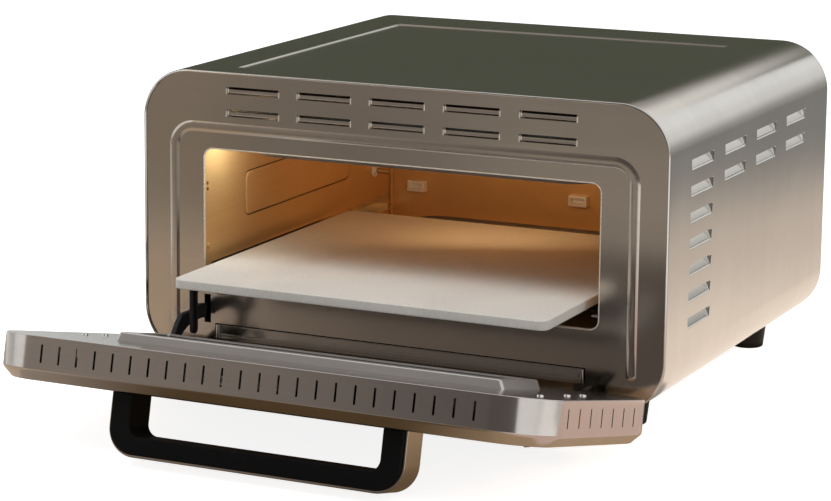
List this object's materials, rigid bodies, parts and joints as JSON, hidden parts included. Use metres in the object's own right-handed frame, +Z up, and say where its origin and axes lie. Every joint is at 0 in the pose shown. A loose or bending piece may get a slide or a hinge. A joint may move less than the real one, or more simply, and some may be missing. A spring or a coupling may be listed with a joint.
{
  "type": "electric pizza oven",
  "caption": "Countertop electric pizza oven with a louvred steel shell, drop-down vented door with a U handle, and a baking stone that slides out as the door opens.",
  "frame": {"origin": "on the surface the feet stand on, under the middle of the whole with the door down", "axes": "+Z up, +Y from the door towards the back panel, +X to the right seen from the front"},
  "size_m": [0.46, 0.6458, 0.264],
  "materials": {
    "brushed_shell": "brushed stainless, grain running round the wrap",
    "brushed_front": "brushed stainless, grain left to right",
    "polished_panel": "smooth bright stainless",
    "liner": "satin steel, heat-tinted",
    "zinc_sheet": "plain zinc-coated sheet",
    "black_steel": "satin black",
    "black_plastic": "satin black",
    "foot_plastic": "matt black",
    "screw_steel": "bright",
    "heater_tube": "dark oxide",
    "window_glass": "tinted tempered glass",
    "lens_glass": "ribbed warm glass",
    "insulation": "mineral fibre blanket",
    "ceramic": "unglazed white",
    "control_case": "moulded, plain",
    "red_lens": "clear red",
    "baking_stone": "fine off-white cordierite"
  },
  "bodies": {
    "oven": {"outer_wrap": "brushed_shell", "base_plate": "zinc_sheet", "rear_panel": "zinc_sheet", "front_fascia": "brushed_front", "sill_strip": "brushed_front", "cavity_left_wall": "liner", "cavity_right_wall": "liner", "cavity_ceiling": "liner", "cavity_floor": "liner", "cavity_back_wall": "liner", "slide_rail_left": "polished_panel", "slide_rail_right": "polished_panel", "upper_element": "heater_tube", "lower_element": "heater_tube", "element_clips": "polished_panel", "stop_clips": "polished_panel", "temperature_probe": "polished_panel", "lamp_housing": "zinc_sheet", "lamp_lens": "lens_glass", "insulation_top": "insulation", "insulation_left": "insulation", "insulation_right": "insulation", "terminal_block": "ceramic", "thermal_cutout": "ceramic", "mains_inlet": "black_plastic", "inlet_pins": "screw_steel", "foot_front_left": "foot_plastic", "foot_front_right": "foot_plastic", "foot_rear_left": "foot_plastic", "foot_rear_right": "foot_plastic", "foot_screws": "screw_steel", "panel_screws": "screw_steel", "hinge_bracket_left": "zinc_sheet", "hinge_bracket_right": "zinc_sheet", "hinge_pin_left": "screw_steel", "hinge_pin_right": "screw_steel"},
    "door": {"door_shell": "brushed_front", "door_inner_panel": "polished_panel", "window_frame": "polished_panel", "window_inner_glass": "window_glass", "window_outer_glass": "window_glass", "handle_grip": "black_plastic", "handle_band": "polished_panel", "door_screws": "screw_steel", "hinge_arm_left": "black_steel", "hinge_lug_right": "black_steel", "control_plate": "black_plastic", "thermostat": "control_case", "timer": "control_case", "power_switch": "black_plastic", "indicator_lenses": "red_lens"},
    "temperature_dial": {"temperature_knob": "black_plastic"},
    "timer_dial": {"timer_knob": "black_plastic"},
    "power_push": {"power_button": "black_plastic"},
    "stone_carrier": {"pizza_stone": "baking_stone", "carrier_frame": "black_steel"},
    "link": {"pull_link": "black_steel"}
  },
  "joints": [
    {"name": "door_hinge", "type": "hinge", "parent": "oven", "child": "door", "pos_m": [0, -0.08886, 0.027], "axis": [-1, 0, 0], "range_deg": [0, 77]},
    {"name": "stone_slide", "type": "slide", "parent": "oven", "child": "stone_carrier", "axis": [0, 1, 0], "range_m": [0, 0.088]},
    {"name": "link_swing", "type": "hinge", "parent": "stone_carrier", "child": "link", "pos_m": [-0.158, -0.11986, 0.0934], "axis": [-1, 0, 0], "range_deg": [0, 90]},
    {"name": "temperature_turn", "type": "hinge", "parent": "door", "child": "temperature_dial", "pos_m": [-0.15, -0.14635, 0.01359], "axis": [0, -0.225, -0.9744], "range_deg": [0, 270]},
    {"name": "timer_turn", "type": "hinge", "parent": "door", "child": "timer_dial", "pos_m": [0.15, -0.14635, 0.01359], "axis": [0, -0.225, -0.9744], "range_deg": [0, 300]},
    {"name": "power_press", "type": "slide", "parent": "door", "child": "power_push", "axis": [0, 0.225, 0.9744], "range_m": [0, 0.002], "stiffness_N_per_m": 150, "springref_m": -0.002}
  ],
  "couplings": [
    {"joint": "stone_slide", "follows": "door_hinge", "m_per_rad": 0.0654},
    {"joint": "link_swing", "follows": "door_hinge", "ratio": 1.165}
  ]
}
